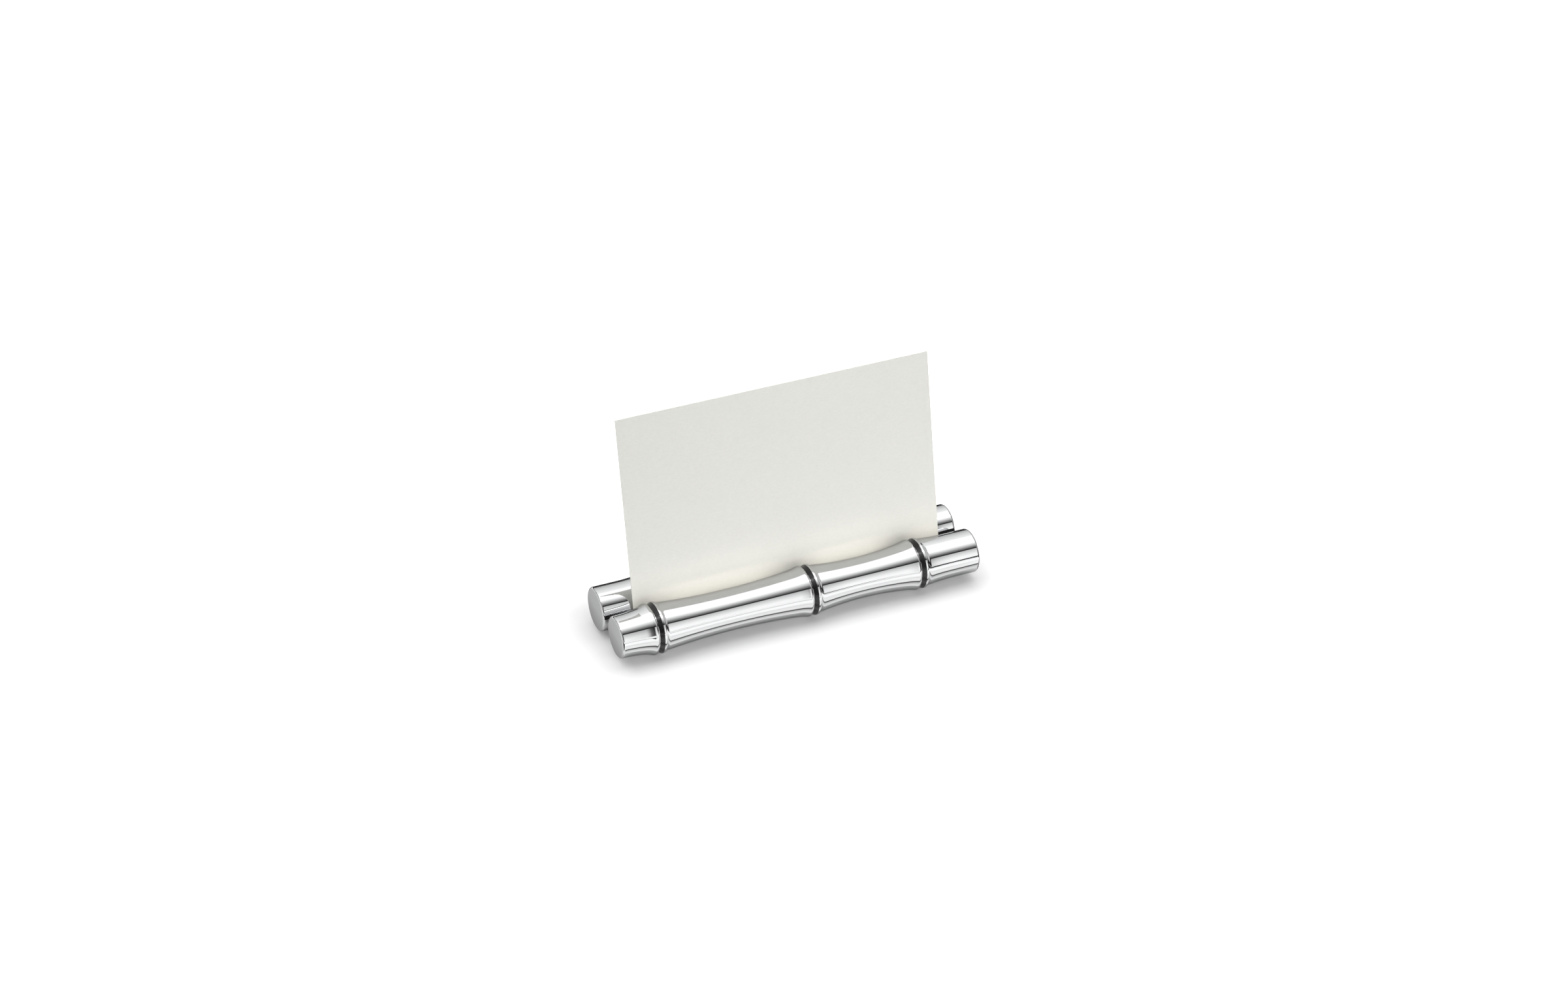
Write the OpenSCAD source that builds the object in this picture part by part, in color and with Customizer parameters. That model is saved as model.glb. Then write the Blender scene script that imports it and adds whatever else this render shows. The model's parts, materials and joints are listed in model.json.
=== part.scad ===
// Place card holder: two bamboo-form bars lie side by side, end for end, joined by two cross pins.
// A stiff card stands on the pins, in the slot between the bars, and leans back on the rear one.
// X runs along the bars, Y from front to back, Z up from the table.

/* [Bars] */
// Left end to the groove of the left node
left_stub_l = 9.5; // [7:0.1:14]
// Long stretch between the left and the middle groove
long_stretch_l = 40.7; // [24:0.1:60]
// Short stretch between the middle and the right groove
short_stretch_l = 28.9; // [22:0.1:45]
// Groove of the right node to the right end
right_stub_l = 15.5; // [11:0.1:24]
// Diameter over the round lip at each node
node_d = 13.2; // [11.6:0.1:16]
// Narrowest diameter between two nodes
waist_d = 10.6; // [8.4:0.1:12.4]
// Diameter at the left end
left_end_d = 10.9; // [8.4:0.1:12.4]
// Diameter of the plain stub at the right end
right_end_d = 11.5; // [9:0.1:12.4]
// Rounding of the left end's edge
left_edge_r = 0.6; // [0.2:0.1:1]
// Rounding of the right end's edge
right_edge_r = 0.6; // [0.2:0.1:1]
// Depth of the flats rubbed under the nodes, on which the holder stands
foot_flat = 0.1; // [0.05:0.01:0.2]

/* [Nodes] */
// Rounding over each lip
lip_round = 1; // [0.8:0.05:1.4]
// Crest of a lip to the wall of its groove
lip_back = 0.7; // [0.4:0.05:0.75]
// Length of the flare that rises to a lip
flare_l = 2.6; // [2.2:0.1:3.2]
// Rounding over the shoulder behind a groove
shoulder_round = 0.8; // [0.6:0.05:1.2]
// Wall of a groove to the crest of the shoulder behind it
shoulder_back = 0.3; // [0.2:0.05:0.5]
// Length of the shoulder and the drop behind a groove
drop_l = 1.6; // [1.2:0.1:2.2]
// Length over which the right stub settles to its plain diameter
settle_l = 7; // [5:0.5:8]

/* [Dark rings] */
// Width of the groove at each node
groove_w = 1.3; // [0.9:0.1:1.8]
// Width of the bright ledge in the groove, between the lip and the ring
ledge_w = 0.2; // [0.1:0.05:0.4]
// Depth below the lips of the ledge and of a ring's low edge
ring_dip = 0.65; // [0.4:0.05:0.7]
// Depth below the lips of the seat that holds a ring
ring_depth = 1; // [0.8:0.1:1.3]

/* [Cross pins] */
// Diameter of a pin
pin_d = 2.5; // [1.6:0.1:3]
// Groove of a bar's right node to the pin beside it
pin_inset = 4.5; // [4:0.1:9]
// Metal left below a pin at the bars' waist
pin_wall = 0.6; // [0.4:0.1:1]
// End of a pin to the middle plane of its bar
pin_stop = 1; // [0:0.1:1.5]
// Chamfer on a pin's ends
pin_chamfer = 0.2; // [0.1:0.05:0.4]

/* [Card] */
// Width of the card
card_w = 85; // [60:1:95]
// Height of the card
card_h = 55; // [40:1:80]
// Thickness of the card
card_t = 0.35; // [0.2:0.05:0.6]
// Lean of the card, in degrees
card_lean = 9.8; // [6:0.1:12]
// Middle of the card from the middle of the bars, along them
card_shift = 1; // [-5:0.5:5]

/* [Fits] */
// Clearance between the card and what it passes or stands on
card_gap = 0.05; // [0.02:0.01:0.15]
// Clearance around a ring in its groove and a pin in its holes
seat_gap = 0.02; // [0.01:0.01:0.05]
// Free depth behind a pin's end
pin_end_gap = 0.2; // [0.1:0.1:0.4]

/* [Hidden] */
$fn = 180;
// Facets of the long arcs, which only a few degrees of each circle show
sweep_facets = 1440;
// How far cuts run past what they cut
overrun = 0.5;
// How much deeper a rise is cut, so that it runs into the curves beside it without a step
rise_bite = 0.001;

// Places between the waist or the end, at 0, and the lip's crest, at 1
neck_share = 0.66;
stub_neck_share = 0.53;
throat_share = 0.6;
stub_throat_share = 0.36;

node_r = node_d / 2;
ring_seat_r = node_r - ring_depth;
ring_low_r = node_r - ring_dip;
// A ring's high edge is flush with the shoulder behind it
shoulder_rise = sqrt(shoulder_round * shoulder_round - shoulder_back * shoulder_back);
ring_high_r = node_r - shoulder_round + shoulder_rise;

// Places along a bar, from its left end
left_groove_u = left_stub_l;
middle_groove_u = left_groove_u + groove_w + long_stretch_l;
right_groove_u = middle_groove_u + groove_w + short_stretch_l;
bar_l = right_groove_u + groove_w + right_stub_l;
right_pin_u = right_groove_u - pin_inset;
left_pin_u = bar_l - right_pin_u;

// The bars' axes stand apart by their nodes and the leaning card between them
bar_z = node_r - foot_flat;
bar_pitch = (node_d + card_t + 2 * card_gap) / cos(card_lean);

// The pins lie low in the bars, and the card's lower edge stands on them
pin_below_axis = waist_d / 2 - pin_wall - pin_d / 2;
pin_z = bar_z - pin_below_axis;
pin_l = bar_pitch - 2 * pin_stop;
card_below_axis = (pin_below_axis - pin_d / 2 - card_gap - card_t / 2 * sin(card_lean)) / cos(card_lean);

silver = [0.80, 0.81, 0.82];
blackened = [0.09, 0.09, 0.10];
steel = [0.62, 0.63, 0.65];
paper = [0.92, 0.91, 0.87];

// The bar's outline is worked in points [r, u]: the distance from its axis and the place along it.

// Radius of an arc that is level at one end and rises by this much over this span
function level_arc_r(span, rise) = (span * span + rise * rise) / (2 * rise);

function unit(v) = v / norm(v);

// Where an arc between two points is level, if it drops to the waist between them
function waist_u(from, to, waist_r) =
    let (ratio = sqrt((to[0] - waist_r) / (from[0] - waist_r)))
    (to[1] + ratio * from[1]) / (1 + ratio);

// A point of an arc that bulges towards the axis
function on_arc(centre, radius, u) =
    [centre[0] - sqrt(radius * radius - (u - centre[1]) * (u - centre[1])), u];

// Radius of the arc that leaves a point along its tangent and runs into a round about a centre
function rise_arc_r(leave, inward, crest, round_r) =
    ((crest - leave) * (crest - leave) - round_r * round_r)
    / (2 * ((crest - leave) * inward + round_r));

module band(from_r, from_u, to_u) {
    translate([from_r, from_u])
        square([node_d - from_r, to_u - from_u]);
}

// Takes away the inside of a circle, which leaves a hollow sweep
module hollow_cut(centre, radius, from_u, to_u, facets = $fn) {
    intersection() {
        translate(centre)
            circle(r = radius, $fn = facets);
        band(0, from_u, to_u);
    }
}

// Takes away what lies outside a circle, which leaves a round edge
module round_cut(centre, radius, from_r, from_u, to_u) {
    difference() {
        band(from_r, from_u, to_u);
        translate(centre)
            circle(r = radius);
    }
}

// A hollow rise from a sweep to a crest, and the round over the crest to the wall of its groove
module rise_cut(sweep_centre, leave, crest, round_r, face_u) {
    inward = unit(sweep_centre - leave);
    rise_r = rise_arc_r(leave, inward, crest, round_r);
    rise_centre = leave + rise_r * inward;
    meet_u = (rise_centre + (crest - rise_centre) * rise_r / (rise_r + round_r))[1];
    low_u = min(leave[1], meet_u) - overrun;
    high_u = max(leave[1], meet_u) + overrun;
    hollow_cut(rise_centre, rise_r + rise_bite, low_u, high_u);
    round_cut(crest, round_r, ring_seat_r, min(meet_u, face_u), max(meet_u, face_u));
}

// The flare from the throat to a lip, and the round over the lip
module lip_cut(sweep_centre, throat, groove_u) {
    crest = [node_r - lip_round, groove_u - lip_back];
    rise_cut(sweep_centre, throat, crest, lip_round, groove_u + overrun);
}

// The round shoulder behind a groove, and the drop to the neck of the next stretch
module drop_cut(sweep_centre, neck, groove_u) {
    crest = [node_r - shoulder_round, groove_u + groove_w + shoulder_back];
    rise_cut(sweep_centre, neck, crest, shoulder_round, groove_u + groove_w - overrun);
}

// A stretch between two grooves: a drop, a long hollow sweep and a flare to the next lip
module stretch_cut(from_groove_u, to_groove_u) {
    waist_r = waist_d / 2;
    rise = node_r - waist_r;
    neck = [waist_r + neck_share * rise, from_groove_u + groove_w + drop_l];
    throat = [waist_r + throat_share * rise, to_groove_u - lip_back - flare_l];
    level_u = waist_u(neck, throat, waist_r);
    sweep_r = level_arc_r(throat[1] - level_u, throat[0] - waist_r);
    sweep_centre = [waist_r + sweep_r, level_u];
    drop_cut(sweep_centre, on_arc(sweep_centre, sweep_r, neck[1]), from_groove_u);
    hollow_cut(sweep_centre, sweep_r, neck[1], throat[1], sweep_facets);
    lip_cut(sweep_centre, throat, to_groove_u);
}

// The left stub flares from its round end edge to the left lip
module left_stub_cut() {
    end_r = left_end_d / 2;
    throat = [end_r + stub_throat_share * (node_r - end_r), left_groove_u - lip_back - flare_l];
    sweep_r = level_arc_r(throat[1] - left_edge_r, throat[0] - end_r);
    sweep_centre = [end_r + sweep_r, left_edge_r];
    edge_r = end_r - left_edge_r;
    round_cut([edge_r, left_edge_r], left_edge_r, edge_r, -overrun, left_edge_r);
    hollow_cut(sweep_centre, sweep_r, -overrun, throat[1], sweep_facets);
    lip_cut(sweep_centre, throat, left_groove_u);
}

// The right stub settles to a plain round with a soft end edge
module right_stub_cut() {
    end_r = right_end_d / 2;
    edge_u = bar_l - right_edge_r;
    neck = [end_r + stub_neck_share * (node_r - end_r), right_groove_u + groove_w + drop_l];
    plain_u = neck[1] + settle_l;
    sweep_r = level_arc_r(settle_l, neck[0] - end_r);
    sweep_centre = [end_r + sweep_r, plain_u];
    edge_r = end_r - right_edge_r;
    drop_cut(sweep_centre, neck, right_groove_u);
    hollow_cut(sweep_centre, sweep_r, neck[1], plain_u + overrun, sweep_facets);
    band(end_r, plain_u, bar_l + overrun);
    round_cut([edge_r, edge_u], right_edge_r, edge_r, edge_u, bar_l + overrun);
}

// A groove with a ledge beside the lip and a deeper seat for the dark ring
module groove_cut(groove_u) {
    band(ring_low_r, groove_u, groove_u + groove_w);
    band(ring_seat_r, groove_u + ledge_w, groove_u + groove_w);
}

module bar_outline() {
    difference() {
        square([node_r, bar_l]);
        left_stub_cut();
        stretch_cut(left_groove_u, middle_groove_u);
        stretch_cut(middle_groove_u, right_groove_u);
        right_stub_cut();
        for (groove_u = [left_groove_u, middle_groove_u, right_groove_u])
            groove_cut(groove_u);
    }
}

// Turns an outline about the axis of the front bar
module turned() {
    translate([-bar_l / 2, -bar_pitch / 2, bar_z])
        rotate([0, 90, 0])
            rotate_extrude()
                children();
}

// Puts a piece of the front bar at its place on the back bar, which lies end for end
module end_for_end() {
    rotate([0, 0, 180])
        children();
}

// Rubs the underside flat at the table
module stood_flat() {
    difference() {
        children();
        translate([-bar_l, -bar_pitch - node_d, -node_d])
            cube([2 * bar_l, 2 * (bar_pitch + node_d), node_d]);
    }
}

module along_y(u) {
    translate([u - bar_l / 2, 0, pin_z])
        rotate([90, 0, 0])
            children();
}

module bar() {
    difference() {
        stood_flat()
            turned()
                bar_outline();
        for (u = [left_pin_u, right_pin_u])
            along_y(u)
                cylinder(d = pin_d + 2 * seat_gap, h = pin_l + 2 * pin_end_gap, center = true);
    }
}

// A dark ring that lies in its groove and slopes up from the ledge to the shoulder
module ring(groove_u) {
    inner_r = ring_seat_r + seat_gap;
    left_u = groove_u + ledge_w + seat_gap;
    right_u = groove_u + groove_w - seat_gap;
    stood_flat()
        turned()
            polygon([
                [inner_r, left_u], [ring_low_r, left_u],
                [ring_high_r, right_u], [inner_r, right_u]
            ]);
}

module cross_pin(u) {
    pin_r = pin_d / 2;
    tip_r = pin_r - pin_chamfer;
    end_z = pin_l / 2;
    edge_z = end_z - pin_chamfer;
    along_y(u)
        rotate_extrude()
            polygon([
                [0, -end_z], [tip_r, -end_z], [pin_r, -edge_z],
                [pin_r, edge_z], [tip_r, end_z], [0, end_z]
            ]);
}

module front_bar() { color(silver) bar(); }
module front_left_ring() { color(blackened) ring(left_groove_u); }
module front_middle_ring() { color(blackened) ring(middle_groove_u); }
module front_right_ring() { color(blackened) ring(right_groove_u); }

module back_bar() { color(silver) end_for_end() bar(); }
module back_left_ring() { color(blackened) end_for_end() ring(right_groove_u); }
module back_middle_ring() { color(blackened) end_for_end() ring(middle_groove_u); }
module back_right_ring() { color(blackened) end_for_end() ring(left_groove_u); }

module left_cross_pin() { color(steel) cross_pin(left_pin_u); }
module right_cross_pin() { color(steel) cross_pin(right_pin_u); }

module place_card() {
    color(paper)
        translate([card_shift, 0, bar_z])
            rotate([-card_lean, 0, 0])
                translate([-card_w / 2, -card_t / 2, -card_below_axis])
                    cube([card_w, card_t, card_h]);
}

front_bar();
front_left_ring();
front_middle_ring();
front_right_ring();
back_bar();
back_left_ring();
back_middle_ring();
back_right_ring();
left_cross_pin();
right_cross_pin();
place_card();
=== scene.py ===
import json
import math

import bmesh
import bpy
from mathutils import Matrix, Vector


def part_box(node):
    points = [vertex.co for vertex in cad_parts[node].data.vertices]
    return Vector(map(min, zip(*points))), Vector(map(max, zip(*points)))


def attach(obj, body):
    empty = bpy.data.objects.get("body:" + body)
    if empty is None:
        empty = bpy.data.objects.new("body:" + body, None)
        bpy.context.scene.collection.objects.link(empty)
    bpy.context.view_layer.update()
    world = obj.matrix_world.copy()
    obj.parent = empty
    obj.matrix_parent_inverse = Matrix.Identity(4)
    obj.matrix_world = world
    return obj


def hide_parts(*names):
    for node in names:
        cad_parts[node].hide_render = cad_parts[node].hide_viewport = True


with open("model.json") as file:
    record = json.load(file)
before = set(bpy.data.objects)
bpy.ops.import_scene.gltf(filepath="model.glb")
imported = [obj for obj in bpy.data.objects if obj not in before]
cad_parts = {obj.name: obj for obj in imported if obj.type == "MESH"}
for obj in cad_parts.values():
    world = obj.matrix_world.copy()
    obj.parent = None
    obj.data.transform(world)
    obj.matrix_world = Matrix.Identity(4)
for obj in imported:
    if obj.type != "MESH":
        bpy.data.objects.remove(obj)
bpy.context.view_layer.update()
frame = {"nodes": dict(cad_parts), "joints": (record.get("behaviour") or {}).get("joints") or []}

scene = bpy.context.scene
scene.view_settings.view_transform = "Standard"

# The camera: a long lens at arm's length, a little to the left of the holder and looking down on it.
# It is aimed at the middle of the holder's height, and rolled by a quarter of a degree as the photograph is.
camera_lens_mm = 74.8
camera_sensor_mm = 36.0
camera_distance = 0.8194
camera_azimuth = math.radians(-23.763)
camera_elevation = math.radians(31.769)
camera_roll = math.radians(0.256)
camera_target = Vector((-0.00027, 0.0, 0.02948))

camera_back = Vector((
    math.sin(camera_azimuth) * math.cos(camera_elevation),
    -math.cos(camera_azimuth) * math.cos(camera_elevation),
    math.sin(camera_elevation),
))
camera_turn = (-camera_back).to_track_quat("-Z", "Y").to_matrix() @ Matrix.Rotation(-camera_roll, 3, "Z")
camera_data = bpy.data.cameras.new("camera")
camera_data.lens = camera_lens_mm
camera_data.sensor_width = camera_sensor_mm
camera = bpy.data.objects.new("camera", camera_data)
camera.matrix_world = Matrix.Translation(camera_target + camera_back * camera_distance) @ camera_turn.to_4x4()
scene.collection.objects.link(camera)
scene.camera = camera

# The bars: two alike, lying end for end, each a length of bamboo cast in silvery metal and mirror polished.
# Each is turned about its own length: a round lip, a groove and a round shoulder at each node and long
# hollow sweeps between, with small flats rubbed underneath where it stands.
left_edge_round = 0.0006
right_edge_round = 0.0006
left_end_radius = 0.00545
right_end_radius = 0.00575
waist_radius = 0.0053
lip_round = 0.0010
lip_back = 0.0007
flare_length = 0.0026
shoulder_round = 0.0008
shoulder_back = 0.0003
drop_length = 0.0016
settle_length = 0.0070
ring_dip = 0.00065
ring_depth = 0.0010
ring_seat = 0.00002
ledge_width = 0.0002
neck_share = 0.66
stub_neck_share = 0.53
throat_share = 0.60
stub_throat_share = 0.36

left_edge_steps = 12
right_edge_steps = 16
lip_steps = 20
shoulder_steps = 16
sweep_steps = 72
stub_steps = 24
turn_steps = 192
merge_distance = 1e-7
sharp_corner = math.radians(25.0)

metal_dull = (0.557, 0.56, 0.564)
metal_bright = (0.597, 0.60, 0.604)
metal_edge_tint = (0.55, 0.55, 0.55, 1.0)
metal_wave_height = 0.000016


def draw_line(bm, pen, point):
    """Draws the outline straight on from the pen to a point (place along the bar, distance from its axis)."""
    pen = bmesh.ops.extrude_vert_indiv(bm, verts=[pen])["verts"][0]
    pen.co = (point[0], 0.0, point[1])
    return pen


def draw_arc(bm, pen, centre, end, steps):
    """Draws the outline round a centre, from the pen to the end point."""
    pivot = Vector((centre[0], 0.0, centre[1]))
    start = pen.co - pivot
    finish = Vector((end[0], 0.0, end[1])) - pivot
    angle = math.atan2(start.cross(finish).y, start.dot(finish))
    spun = bmesh.ops.spin(
        bm, geom=[pen], cent=pivot, axis=(0.0, 1.0, 0.0), angle=angle, steps=steps, use_merge=False
    )
    return [piece for piece in spun["geom_last"] if isinstance(piece, bmesh.types.BMVert)][0]


def level_arc_radius(span, rise):
    """Radius of an arc that is level at one end and rises by this much over this span."""
    return (span * span + rise * rise) / (2.0 * rise)


def on_arc(centre, radius, along):
    """Point of an arc that bulges towards the axis, at a place along the bar."""
    return Vector((along, centre.y - math.sqrt(radius * radius - (along - centre.x) ** 2)))


def rise_to_crest(sweep_centre, leave, crest, crest_round):
    """Centre of the hollow arc from a sweep to the round over a crest, and where it meets that round."""
    inward = (sweep_centre - leave).normalized()
    reach = crest - leave
    rise = (reach.dot(reach) - crest_round * crest_round) / (2.0 * (reach.dot(inward) + crest_round))
    centre = leave + rise * inward
    return centre, centre + (crest - centre) * rise / (rise + crest_round)


def draw_lip(bm, pen, sweep_centre, throat, groove_at):
    """Draws the flare from a throat to the lip, the round over the lip, and the groove's wall and ledge."""
    crest = Vector((groove_at - lip_back, node_radius - lip_round))
    flare_centre, meet = rise_to_crest(sweep_centre, throat, crest, lip_round)
    edge = Vector((groove_at, crest.y + math.sqrt(lip_round * lip_round - lip_back * lip_back)))
    pen = draw_arc(bm, pen, flare_centre, meet, lip_steps)
    pen = draw_arc(bm, pen, crest, edge, lip_steps)
    pen = draw_line(bm, pen, (groove_at, node_radius - ring_dip))
    pen = draw_line(bm, pen, (groove_at + ledge_width, node_radius - ring_dip))
    return draw_line(bm, pen, (groove_at + ledge_width, node_radius - ring_depth))


def draw_drop(bm, pen, sweep_centre, neck, behind):
    """Draws the groove's floor and far wall, the round shoulder, and the drop from it to the neck."""
    crest = Vector((behind + shoulder_back, node_radius - shoulder_round))
    drop_centre, meet = rise_to_crest(sweep_centre, neck, crest, shoulder_round)
    edge_radius = crest.y + math.sqrt(shoulder_round * shoulder_round - shoulder_back * shoulder_back)
    pen = draw_line(bm, pen, (behind, node_radius - ring_depth))
    pen = draw_line(bm, pen, (behind, edge_radius))
    pen = draw_arc(bm, pen, crest, meet, shoulder_steps)
    return draw_arc(bm, pen, drop_centre, neck, shoulder_steps)


def draw_stretch(bm, pen, behind, groove_at):
    """Draws one stretch of bamboo between two grooves."""
    rise = node_radius - waist_radius
    neck = Vector((behind + drop_length, waist_radius + neck_share * rise))
    throat = Vector((groove_at - lip_back - flare_length, waist_radius + throat_share * rise))
    ratio = math.sqrt((throat.y - waist_radius) / (neck.y - waist_radius))
    level_at = (throat.x + ratio * neck.x) / (1.0 + ratio)
    sweep_radius = level_arc_radius(throat.x - level_at, throat.y - waist_radius)
    sweep_centre = Vector((level_at, waist_radius + sweep_radius))
    neck = on_arc(sweep_centre, sweep_radius, neck.x)
    pen = draw_drop(bm, pen, sweep_centre, neck, behind)
    pen = draw_arc(bm, pen, sweep_centre, throat, sweep_steps)
    return draw_lip(bm, pen, sweep_centre, throat, groove_at)


def draw_bar(bm, grooves, length):
    """Draws a bar's whole outline, from the middle of its left end to the middle of its right end."""
    pen = bm.verts.new((0.0, 0.0, 0.0))
    left_edge_low = left_end_radius - left_edge_round
    pen = draw_line(bm, pen, (0.0, left_edge_low))
    left_edge = (left_edge_round, left_end_radius)
    pen = draw_arc(bm, pen, (left_edge_round, left_edge_low), left_edge, left_edge_steps)
    throat = Vector((
        grooves[0][0] - lip_back - flare_length,
        left_end_radius + stub_throat_share * (node_radius - left_end_radius),
    ))
    sweep_radius = level_arc_radius(throat.x - left_edge_round, throat.y - left_end_radius)
    sweep_centre = Vector((left_edge_round, left_end_radius + sweep_radius))
    pen = draw_arc(bm, pen, sweep_centre, throat, stub_steps)
    pen = draw_lip(bm, pen, sweep_centre, throat, grooves[0][0])
    for (_, behind), (ahead, _) in zip(grooves, grooves[1:]):
        pen = draw_stretch(bm, pen, behind, ahead)
    neck_rise = stub_neck_share * (node_radius - right_end_radius)
    neck = Vector((grooves[-1][1] + drop_length, right_end_radius + neck_rise))
    level_at = neck.x + settle_length
    sweep_radius = level_arc_radius(settle_length, neck_rise)
    sweep_centre = Vector((level_at, right_end_radius + sweep_radius))
    pen = draw_drop(bm, pen, sweep_centre, neck, grooves[-1][1])
    pen = draw_arc(bm, pen, sweep_centre, (level_at, right_end_radius), stub_steps)
    right_edge_at = length - right_edge_round
    right_edge_low = right_end_radius - right_edge_round
    pen = draw_line(bm, pen, (right_edge_at, right_end_radius))
    pen = draw_arc(bm, pen, (right_edge_at, right_edge_low), (length, right_edge_low), right_edge_steps)
    return draw_line(bm, pen, (length, 0.0))


def turn_outline(bm, place, heading):
    """Turns the outline once round its axis, heads it along the bars or back, and rubs the flats beneath."""
    bmesh.ops.spin(
        bm, geom=bm.verts[:] + bm.edges[:], cent=(0.0, 0.0, 0.0), axis=(1.0, 0.0, 0.0),
        angle=math.tau, steps=turn_steps, use_merge=True,
    )
    bmesh.ops.remove_doubles(bm, verts=bm.verts, dist=merge_distance)
    bmesh.ops.rotate(bm, verts=bm.verts, cent=(0.0, 0.0, 0.0), matrix=Matrix.Rotation(heading, 3, "Z"))
    bmesh.ops.translate(bm, verts=bm.verts, vec=place)
    cut = bmesh.ops.bisect_plane(
        bm, geom=bm.verts[:] + bm.edges[:] + bm.faces[:], plane_co=(0.0, 0.0, 0.0), plane_no=(0.0, 0.0, -1.0),
        clear_outer=True,
    )
    rim = [piece for piece in cut["geom_cut"] if isinstance(piece, bmesh.types.BMEdge)]
    bmesh.ops.holes_fill(bm, edges=rim)
    bmesh.ops.recalc_face_normals(bm, faces=bm.faces)


def finish_piece(bm, name, material, sharp_above=sharp_corner):
    """Makes the mesh an object with smooth shading, apart from its sharp corners."""
    mesh = bpy.data.meshes.new(name)
    bm.to_mesh(mesh)
    bm.free()
    mesh.shade_smooth()
    mesh.set_sharp_from_angle(angle=sharp_above)
    mesh.materials.append(material)
    piece = bpy.data.objects.new(name, mesh)
    scene.collection.objects.link(piece)
    return piece


def new_material(name):
    """An empty procedural material: its nodes, its links and its shader."""
    material = bpy.data.materials.new(name)
    material.use_nodes = True
    nodes = material.node_tree.nodes
    return material, nodes, material.node_tree.links, nodes["Principled BSDF"]


def add_noise(nodes, links, scale, detail, roughness=0.5, stretch=(1.0, 1.0, 1.0)):
    """Noise on the piece's own coordinates, in cycles per metre."""
    coordinates = nodes.new("ShaderNodeTexCoord")
    mapping = nodes.new("ShaderNodeMapping")
    mapping.inputs["Scale"].default_value = stretch
    noise = nodes.new("ShaderNodeTexNoise")
    noise.inputs["Scale"].default_value = scale
    noise.inputs["Detail"].default_value = detail
    noise.inputs["Roughness"].default_value = roughness
    links.new(coordinates.outputs["Object"], mapping.inputs["Vector"])
    links.new(mapping.outputs["Vector"], noise.inputs["Vector"])
    return noise.outputs["Fac"]


def add_range(nodes, links, value, low, high, to_low, to_high):
    """Maps a value from one range to another."""
    ranged = nodes.new("ShaderNodeMapRange")
    ranged.inputs["From Min"].default_value = low
    ranged.inputs["From Max"].default_value = high
    ranged.inputs["To Min"].default_value = to_low
    ranged.inputs["To Max"].default_value = to_high
    links.new(value, ranged.inputs["Value"])
    return ranged.outputs["Result"]


def add_bump(nodes, links, height, distance, strength=1.0, after=None):
    """Bump from a height, laid over an earlier bump if there is one."""
    bump = nodes.new("ShaderNodeBump")
    bump.inputs["Distance"].default_value = distance
    bump.inputs["Strength"].default_value = strength
    links.new(height, bump.inputs["Height"])
    if after is not None:
        links.new(after, bump.inputs["Normal"])
    return bump.outputs["Normal"]


def add_colours(nodes, links, value, low_colour, high_colour):
    """A colour between two, chosen by a value from 0 to 1."""
    ramp = nodes.new("ShaderNodeValToRGB")
    ramp.color_ramp.elements[0].color = (*low_colour, 1.0)
    ramp.color_ramp.elements[1].color = (*high_colour, 1.0)
    links.new(value, ramp.inputs["Fac"])
    return ramp.outputs["Color"]


def make_polished_metal():
    """Mirror polish: slow waves left by the wheel, and a haze that comes and goes."""
    material, nodes, links, shader = new_material("polished_metal")
    shader.inputs["Metallic"].default_value = 1.0
    shader.inputs["Specular Tint"].default_value = metal_edge_tint
    waves = add_noise(nodes, links, scale=110.0, detail=1.0)
    haze = add_noise(nodes, links, scale=900.0, detail=4.0, roughness=0.6, stretch=(0.25, 1.0, 1.0))
    tone = add_colours(nodes, links, haze, metal_dull, metal_bright)
    blur = add_range(nodes, links, haze, low=0.35, high=0.75, to_low=0.012, to_high=0.035)
    links.new(tone, shader.inputs["Base Color"])
    links.new(blur, shader.inputs["Roughness"])
    links.new(add_bump(nodes, links, waves, metal_wave_height), shader.inputs["Normal"])
    return material


polished_metal = make_polished_metal()
headings = {"front": 0.0, "back": math.pi}
for side, heading in headings.items():
    node = f"{side}_bar"
    low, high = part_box(node)
    node_radius = (high.y - low.y) / 2.0
    start_x = low.x if side == "front" else high.x
    groove_spans = []
    for name in ("left", "middle", "right"):
        ring_low, ring_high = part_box(f"{side}_{name}_ring")
        near, far = sorted((abs(ring_low.x - start_x), abs(ring_high.x - start_x)))
        groove_spans.append((near - ring_seat - ledge_width, far + ring_seat))
    outline = bmesh.new()
    draw_bar(outline, sorted(groove_spans), high.x - low.x)
    turn_outline(outline, Vector((start_x, (low.y + high.y) / 2.0, high.z - node_radius)), heading)
    bar = finish_piece(outline, f"polished_{side}_bar", polished_metal)
    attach(bar, "holder")
    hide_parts(node)

# The dark rings: a narrow band of blackened metal at every node, turned to a cone.
# Each lies in the groove behind a lip, level with a bright ledge there and flush with the shoulder behind.
ring_corner = 0.00004
ring_sharp_corner = math.radians(15.0)
ring_black = (0.008, 0.008, 0.0085)
ring_rubbed = (0.017, 0.017, 0.0175)
ring_shine = 0.3
ring_grain_height = 0.000002


def make_blackened_metal():
    """Blackened metal with a soft shine, a little paler where handling has rubbed it."""
    material, nodes, links, shader = new_material("blackened_ring")
    shader.inputs["Specular IOR Level"].default_value = ring_shine
    rub = add_noise(nodes, links, scale=700.0, detail=3.0)
    grain = add_noise(nodes, links, scale=5000.0, detail=2.0)
    tone = add_colours(nodes, links, rub, ring_black, ring_rubbed)
    blur = add_range(nodes, links, rub, low=0.3, high=0.7, to_low=0.14, to_high=0.26)
    links.new(tone, shader.inputs["Base Color"])
    links.new(blur, shader.inputs["Roughness"])
    links.new(add_bump(nodes, links, grain, ring_grain_height), shader.inputs["Normal"])
    return material


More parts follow.
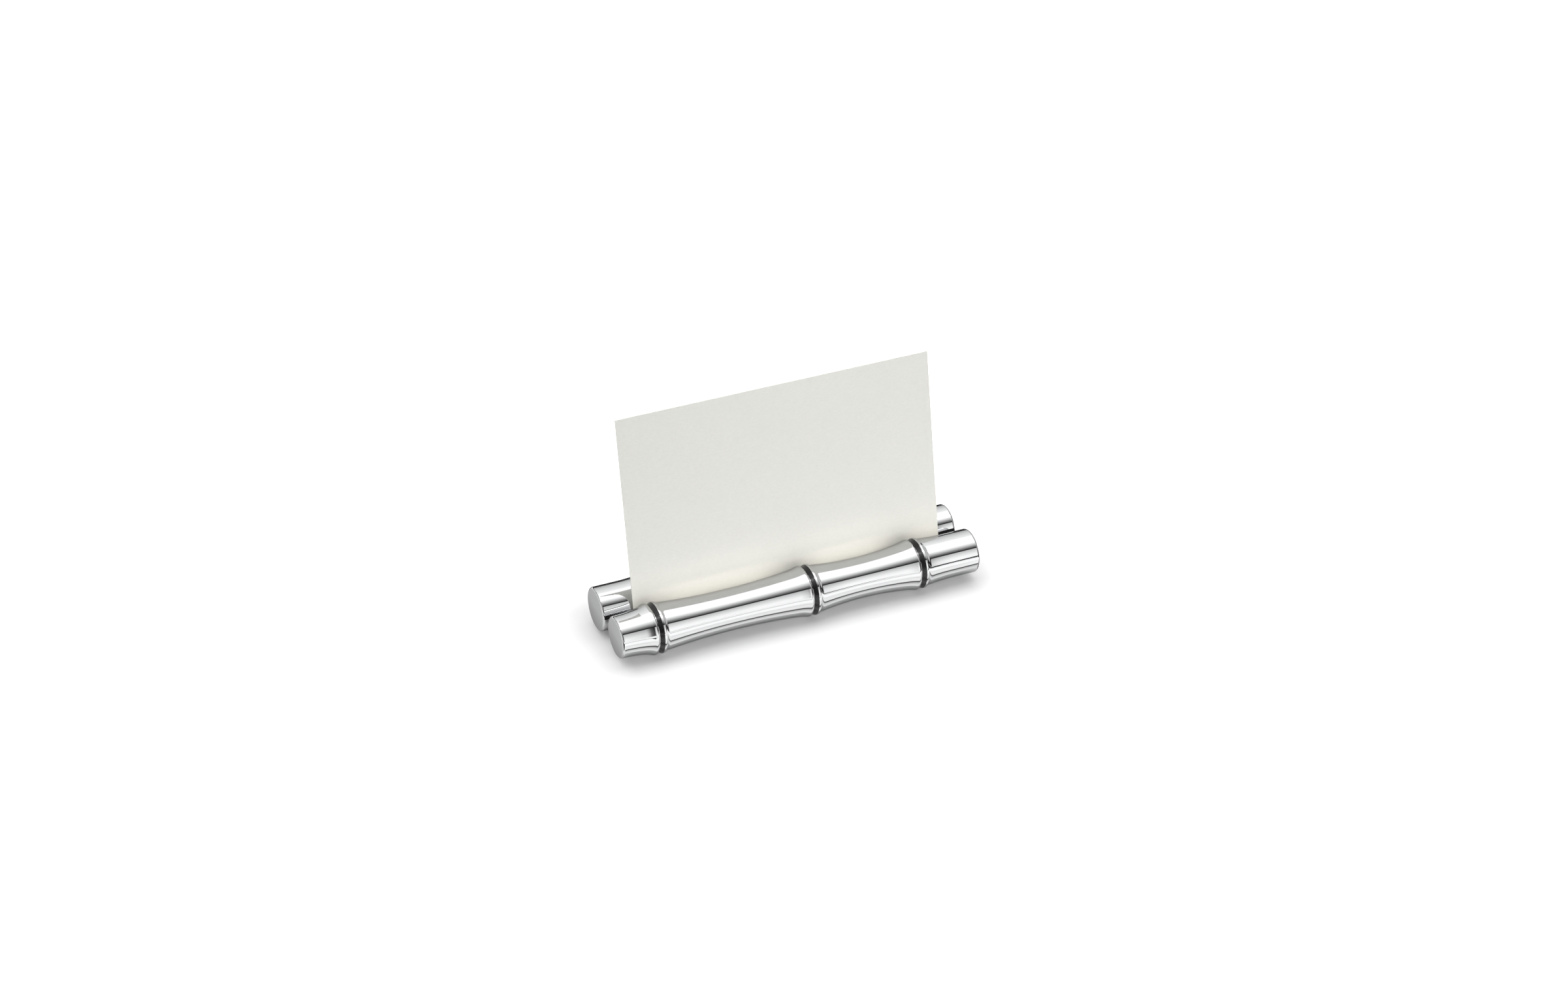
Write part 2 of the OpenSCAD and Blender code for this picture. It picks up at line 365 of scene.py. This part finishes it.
blackened_metal = make_blackened_metal()
for side, heading in headings.items():
    bar_low, bar_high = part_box(f"{side}_bar")
    node_radius = (bar_high.y - bar_low.y) / 2.0
    axis_height = bar_high.z - node_radius
    seat_radius = node_radius - ring_depth + ring_seat
    low_radius = node_radius - ring_dip
    for name in ("left", "middle", "right"):
        node = f"{side}_{name}_ring"
        low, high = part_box(node)
        width = high.x - low.x
        high_radius = (high.y - low.y) / 2.0
        start_x = low.x if side == "front" else high.x
        section = bmesh.new()
        pen = first = section.verts.new((0.0, 0.0, seat_radius))
        pen = draw_line(section, pen, (0.0, low_radius))
        pen = draw_line(section, pen, (width - ring_corner, high_radius))
        pen = draw_line(section, pen, (width, high_radius - ring_corner))
        pen = draw_line(section, pen, (width, seat_radius))
        section.edges.new((pen, first))
        turn_outline(section, Vector((start_x, (low.y + high.y) / 2.0, axis_height)), heading)
        ring = finish_piece(section, f"dark_{node}", blackened_metal, ring_sharp_corner)
        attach(ring, "holder")
        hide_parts(node)

# The cross pins: two short lengths of bright drawn steel, pressed into the facing sides of the bars.
# They hold the bars apart by the thickness of a card, and the card stands on them.
steel_dull = (0.50, 0.50, 0.51)
steel_bright = (0.62, 0.62, 0.62)
steel_line_height = 0.000003


def make_drawn_steel():
    """Drawn steel: fine lines along the pin, which runs from front to back."""
    material, nodes, links, shader = new_material("drawn_steel")
    shader.inputs["Metallic"].default_value = 1.0
    lines = add_noise(nodes, links, scale=4000.0, detail=3.0, roughness=0.6, stretch=(1.0, 0.05, 1.0))
    tone = add_colours(nodes, links, lines, steel_dull, steel_bright)
    blur = add_range(nodes, links, lines, low=0.3, high=0.7, to_low=0.22, to_high=0.36)
    links.new(tone, shader.inputs["Base Color"])
    links.new(blur, shader.inputs["Roughness"])
    links.new(add_bump(nodes, links, lines, steel_line_height), shader.inputs["Normal"])
    return material


drawn_steel = make_drawn_steel()
for node in ("left_cross_pin", "right_cross_pin"):
    pin = frame["nodes"][node]
    pin.data.materials.clear()
    pin.data.materials.append(drawn_steel)

# The place card: stiff uncoated stock, off-white, cut square with clean edges.
# It stands on the cross pins and leans back on the rear bar, and lifts out along its own plane.
card_width = 0.085
card_height = 0.055
card_thickness = 0.00035
card_edge_round = 0.00004
card_edge_segments = 2
card_dark_fibre = (0.801, 0.799, 0.754)
card_pale_fibre = (0.901, 0.899, 0.849)
card_roughness = 0.9
card_shine = 0.2
card_mottle_height = 0.00003
card_fibre_height = 0.00004


def make_card_stock():
    """Uncoated card: a fine tooth, a slow mottle from its fibres, and no shine."""
    material, nodes, links, shader = new_material("card_stock")
    mottle = add_noise(nodes, links, scale=500.0, detail=3.0, roughness=0.55)
    fibre = add_noise(nodes, links, scale=2600.0, detail=4.0, roughness=0.65, stretch=(0.45, 1.0, 1.0))
    colour = add_colours(nodes, links, fibre, card_dark_fibre, card_pale_fibre)
    links.new(colour, shader.inputs["Base Color"])
    shader.inputs["Roughness"].default_value = card_roughness
    shader.inputs["Specular IOR Level"].default_value = card_shine
    coarse = add_bump(nodes, links, mottle, card_mottle_height, strength=0.5)
    fine = add_bump(nodes, links, fibre, card_fibre_height, after=coarse)
    links.new(fine, shader.inputs["Normal"])
    return material


card_lift = Vector(frame["joints"][0]["axis"]).normalized()
card_lean = math.atan2(card_lift.y, card_lift.z)
low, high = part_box("place_card")
card_top = Vector(((low.x + high.x) / 2.0, high.y, high.z))
card_top -= Vector((0.0, math.cos(card_lean), math.sin(card_lean))) * card_thickness / 2.0
card_middle = card_top - card_lift * card_height / 2.0
card_sheet = bmesh.new()
bmesh.ops.create_cube(card_sheet, size=1.0)
bmesh.ops.scale(card_sheet, verts=card_sheet.verts, vec=(card_width, card_thickness, card_height))
bmesh.ops.bevel(
    card_sheet, geom=card_sheet.edges[:], offset=card_edge_round, offset_type="OFFSET", affect="EDGES",
    segments=card_edge_segments, profile=0.5, material=-1,
)
bmesh.ops.rotate(
    card_sheet, verts=card_sheet.verts, cent=(0.0, 0.0, 0.0), matrix=Matrix.Rotation(-card_lean, 3, "X"),
)
bmesh.ops.translate(card_sheet, verts=card_sheet.verts, vec=card_middle)
place_card = finish_piece(card_sheet, "paper_place_card", make_card_stock())
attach(place_card, "card")
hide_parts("place_card")

# The floor: a wide white table that keeps the holder's soft shadow. It glows white for the camera and for the
# polished metal, and the glow fades out towards the holder, so the floor is darker round it: painted shade
# laid over the holder's own shadow.
floor_size = 6.0
floor_white = 0.90
floor_white_to_camera = 0.68
floor_lift_near = 0.11
floor_lift_far = 1.0
floor_lift_reach = 0.031
metal_lift_near = 0.0
metal_lift_far = 0.75
metal_lift_reach = 0.02
holder_half = (0.0460, 0.0135, 0.0)


def make_floor_with_painted_shade():
    """White paint that glows more the further it is from the holder: painted shade close to it."""
    material, nodes, links, shader = new_material("floor_white")
    shader.inputs["Roughness"].default_value = 1.0
    shader.inputs["Specular IOR Level"].default_value = 0.0
    shader.inputs["Emission Color"].default_value = (1.0, 1.0, 1.0, 1.0)
    path = nodes.new("ShaderNodeLightPath")
    to_camera = path.outputs["Is Camera Ray"]
    to_metal = path.outputs["Is Glossy Ray"]
    paint = add_range(nodes, links, to_camera, 0.0, 1.0, floor_white, floor_white_to_camera)
    links.new(paint, shader.inputs["Base Color"])
    away = nodes.new("ShaderNodeTexCoord").outputs["Object"]
    for operation, other in (("ABSOLUTE", None), ("SUBTRACT", holder_half), ("MAXIMUM", (0.0, 0.0, 0.0))):
        step = nodes.new("ShaderNodeVectorMath")
        step.operation = operation
        links.new(away, step.inputs[0])
        if other is not None:
            step.inputs[1].default_value = other
        away = step.outputs["Vector"]
    distance = nodes.new("ShaderNodeVectorMath")
    distance.operation = "LENGTH"
    links.new(away, distance.inputs[0])
    lift = None
    # Little glow near the holder for the camera and none there for the metal: painted shade round the holder.
    for seen, reach, near, far in (
        (to_camera, floor_lift_reach, floor_lift_near, floor_lift_far),
        (to_metal, metal_lift_reach, metal_lift_near, metal_lift_far),
    ):
        by_distance = add_range(nodes, links, distance.outputs["Value"], 0.0, reach, near, far)
        add_up = nodes.new("ShaderNodeMath")
        add_up.operation = "MULTIPLY_ADD"
        add_up.inputs[2].default_value = 0.0
        links.new(by_distance, add_up.inputs[0])
        links.new(seen, add_up.inputs[1])
        if lift is not None:
            links.new(lift, add_up.inputs[2])
        lift = add_up.outputs["Value"]
    links.new(lift, shader.inputs["Emission Strength"])
    return material


floor_sheet = bmesh.new()
bmesh.ops.create_grid(floor_sheet, x_segments=1, y_segments=1, size=floor_size / 2.0)
floor = finish_piece(floor_sheet, "floor", make_floor_with_painted_shade())

# The studio: a soft box overhead and screens all round in a dark room, with black flags behind the bars and
# past their ends, all of which the polished metal mirrors. Fills in front light the card, and three narrow
# warm ones by its foot stand in for light that the front bar throws on it.
room_glow = 0.03
screen_distance = 0.45
softbox_angles = (71.0, 112.0)
softbox_bright = 1.85
softbox_end = 0.40
strip_height = 0.0002
side_screen_half = 0.4
slot_fill_half = 0.05
# Painted shade of the slot between the bars: where the dark sheets in its ends stand, and how dark they are.
slot_shade_y = 0.0005
slot_shade_bright = 0.02
flag_bright = 0.04
plain_white = (1.0, 1.0, 1.0, 1.0)
even = ((0.0, 1.0), (1.0, 1.0))
front_across = (
    (0.0, 0.02), (0.17, 0.15), (0.25, 0.42), (0.34, 0.72),
    (0.59, 0.97), (0.80, 1.0), (0.92, 0.85), (1.0, 0.6),
)
front_upward = ((0.0, 1.0), (0.3, 1.0), (1.0, 0.52))
over_front_upward = ((0.0, 0.04), (0.3, 0.24), (0.55, 0.50), (1.0, 1.0))
behind_upward = ((0.0, 1.0), (1.0, 0.5))
strip_near_upward = ((0.0, 1.0), (0.5, 0.7), (0.8, 0.08), (1.0, 0.08))
# The strip left of the holder dims towards the bars' left ends: painted shadow of the holder.
strip_left_shadow_across = ((0.0, 1.0), (0.85, 0.97), (0.95, 0.88), (1.0, 0.55))
# The sheet by the bars' right ends is dark beside them and paler away from them: painted shadow.
right_end_shadow_across = ((0.0, 0.06), (0.25, 0.08), (1.0, 1.0))
not_camera = ("camera",)
only_metal = ("camera", "diffuse", "transmission", "volume_scatter", "shadow")
not_metal = ("camera", "glossy", "transmission", "volume_scatter", "shadow")

world = bpy.data.worlds.new("dark_room")
world.use_nodes = True
scene.world = world
world_nodes, world_links = world.node_tree.nodes, world.node_tree.links
background = world_nodes["Background"]
background.inputs["Color"].default_value = plain_white
world_path = world_nodes.new("ShaderNodeLightPath")
world_links.new(
    add_range(world_nodes, world_links, world_path.outputs["Is Camera Ray"], 0.0, 1.0, room_glow, 1.0),
    background.inputs["Strength"],
)


def make_glow(name, bright, across, upward, colour):
    """A screen's light: its brightness, and how it falls across and upward in (place, share) stops."""
    material, nodes, links, shader = new_material(name)
    nodes.remove(shader)
    coordinates = nodes.new("ShaderNodeUVMap")
    split = nodes.new("ShaderNodeSeparateXYZ")
    links.new(coordinates.outputs["UV"], split.inputs["Vector"])
    strength = None
    for axis, stops in (("X", across), ("Y", upward)):
        ramp = nodes.new("ShaderNodeValToRGB")
        for place, _ in stops[1:-1]:
            ramp.color_ramp.elements.new(place)
        for element, (place, share) in zip(ramp.color_ramp.elements, stops):
            element.position = place
            element.color = (share, share, share, 1.0)
        links.new(split.outputs[axis], ramp.inputs["Fac"])
        times = nodes.new("ShaderNodeMath")
        times.operation = "MULTIPLY"
        times.inputs[1].default_value = bright
        links.new(ramp.outputs["Color"], times.inputs[0])
        if strength is not None:
            links.new(strength, times.inputs[1])
        strength = times.outputs["Value"]
    glow = nodes.new("ShaderNodeEmission")
    glow.inputs["Color"].default_value = colour
    links.new(strength, glow.inputs["Strength"])
    links.new(glow.outputs["Emission"], nodes["Material Output"].inputs["Surface"])
    return material


def hang_screen(name, corners, bright, hidden, across=even, upward=even, colour=plain_white):
    """Hangs a glowing screen that some kinds of ray don't see."""
    bm = bmesh.new()
    face = bm.faces.new([bm.verts.new(corner) for corner in corners])
    uv = bm.loops.layers.uv.new("UVMap")
    for loop, place_on_screen in zip(face.loops, ((0.0, 0.0), (1.0, 0.0), (1.0, 1.0), (0.0, 1.0))):
        loop[uv].uv = place_on_screen
    screen = finish_piece(bm, name, make_glow(f"glow_{name}", bright, across, upward, colour))
    for ray in hidden:
        setattr(screen, f"visible_{ray}", False)


def long_screen(angles, distance, left, right):
    """Corners of a screen along the bars, between two angles: 0 is ahead of them, 90 overhead, 180 behind."""
    ends = []
    for angle in angles:
        turn = math.radians(angle)
        ends.append((-distance * math.cos(turn), distance * math.sin(turn)))
    (low_y, low_z), (high_y, high_z) = ends
    return [(left, low_y, low_z), (right, low_y, low_z), (right, high_y, high_z), (left, high_y, high_z)]


def upright_screen(place_y, left, right, bottom, top):
    """Corners of an upright screen that faces the card."""
    return [(left, place_y, bottom), (right, place_y, bottom), (right, place_y, top), (left, place_y, top)]


def side_screen(place_x, bottom, top):
    """Corners of an upright screen off one end of the bars."""
    front, back = -side_screen_half, side_screen_half
    return [(place_x, front, bottom), (place_x, back, bottom), (place_x, back, top), (place_x, front, top)]


def table_strip(near, far, left, right):
    """Corners of a strip lying on the table, between two places in front of the middle of the holder."""
    return [
        (left, -near, strip_height), (right, -near, strip_height),
        (right, -far, strip_height), (left, -far, strip_height),
    ]


hang_screen(
    "softbox", long_screen(softbox_angles, screen_distance, left=-0.7, right=softbox_end),
    bright=softbox_bright, hidden=not_camera,
)
hang_screen(
    "softbox_side", long_screen(softbox_angles, screen_distance, left=softbox_end, right=0.85),
    bright=softbox_bright, hidden=not_metal,
)
hang_screen(
    "softbox_core", long_screen((77.0, 84.5), distance=0.40, left=-0.5, right=0.35),
    bright=8.0, hidden=only_metal,
)
hang_screen(
    "screen_front", long_screen((0.3, 38.8), screen_distance, left=-0.30, right=0.36),
    bright=1.66, hidden=only_metal, across=front_across, upward=front_upward,
)
hang_screen(
    "screen_over_front", long_screen((43.0, 71.0), screen_distance, left=-0.4, right=0.40),
    bright=1.75, hidden=only_metal, upward=over_front_upward,
)
hang_screen(
    "screen_behind", long_screen((112.0, 168.0), screen_distance, left=-0.4, right=0.45),
    bright=1.5, hidden=not_camera, upward=behind_upward,
)
hang_screen(
    "fill_front", long_screen((0.5, 20.0), distance=0.6, left=-0.4, right=0.8),
    bright=3.1, hidden=not_metal,
)
hang_screen(
    "fill_low", upright_screen(place_y=-0.025, left=-0.07, right=0.07, bottom=0.002, top=0.013),
    bright=1.4, hidden=not_metal,
)
slot_fills = (
    (-0.0035, 0.0125, 0.0142, 1.35, (1.0, 0.995, 0.98, 1.0)),
    (-0.0025, 0.0102, 0.0124, 1.27, (1.0, 0.975, 0.925, 1.0)),
    (-0.0016, 0.0080, 0.0100, 1.25, (1.0, 0.965, 0.90, 1.0)),
)
for number, (place_y, bottom, top, bright, colour) in enumerate(slot_fills):
    hang_screen(
        f"fill_slot_{number}", upright_screen(place_y, -slot_fill_half, slot_fill_half, bottom, top),
        bright=bright, hidden=not_metal, colour=colour,
    )
hang_screen(
    "strip_near", table_strip(near=0.0135, far=0.0182, left=-0.049, right=0.065),
    bright=1.35, hidden=only_metal, upward=strip_near_upward,
)
hang_screen(
    "strip_far", table_strip(near=0.055, far=0.085, left=-0.06, right=0.12),
    bright=1.15, hidden=only_metal,
)
# A glowing strip on the table left of the holder, seen only by the metal, dimming towards the bars' left
# ends: painted shadow of the holder on the floor.
hang_screen(
    "strip_left_painted_shadow", table_strip(near=0.012, far=-0.06, left=-0.12, right=-0.0495),
    bright=1.1, hidden=only_metal, across=strip_left_shadow_across,
)
# Dark sheets in the two ends of the slot between the bars, seen only by the metal: painted shade of the slot
# in the bars' reflections.
slot_shade_sheets = {
    "left": (-0.0495, -0.0425, 0.0062, 0.0074),
    "right": (0.0440, 0.0560, 0.0058, 0.0084),
}
for name, (left, right, bottom, top) in slot_shade_sheets.items():
    hang_screen(
        f"painted_slot_shade_{name}", upright_screen(slot_shade_y, left, right, bottom, top),
        bright=slot_shade_bright, hidden=only_metal,
    )
hang_screen(
    "flag_left", table_strip(near=0.014, far=0.060, left=-0.12, right=-0.053),
    bright=0.1, hidden=only_metal,
)
hang_screen(
    "flag_behind", table_strip(near=-0.020, far=-0.5, left=-0.0495, right=0.3),
    bright=flag_bright, hidden=only_metal,
)
hang_screen(
    "flag_right_front", table_strip(near=0.012, far=0.3, left=0.070, right=0.4),
    bright=flag_bright, hidden=only_metal,
)
hang_screen(
    "flag_right", table_strip(near=-0.014, far=-0.2, left=0.051, right=0.35),
    bright=flag_bright, hidden=only_metal,
)
# A sheet on the table past the bars' right ends, seen only by the metal, dark beside them and paler away:
# painted shadow of the holder on the floor.
hang_screen(
    "painted_shadow_right_end", table_strip(near=0.014, far=-0.014, left=0.051, right=0.075),
    bright=0.7, hidden=only_metal, across=right_end_shadow_across,
)
hang_screen("screen_left", side_screen(place_x=-0.5, bottom=0.03, top=0.40), bright=0.6, hidden=only_metal)
hang_screen("screen_right", side_screen(place_x=0.6, bottom=0.17, top=0.60), bright=0.8, hidden=only_metal)
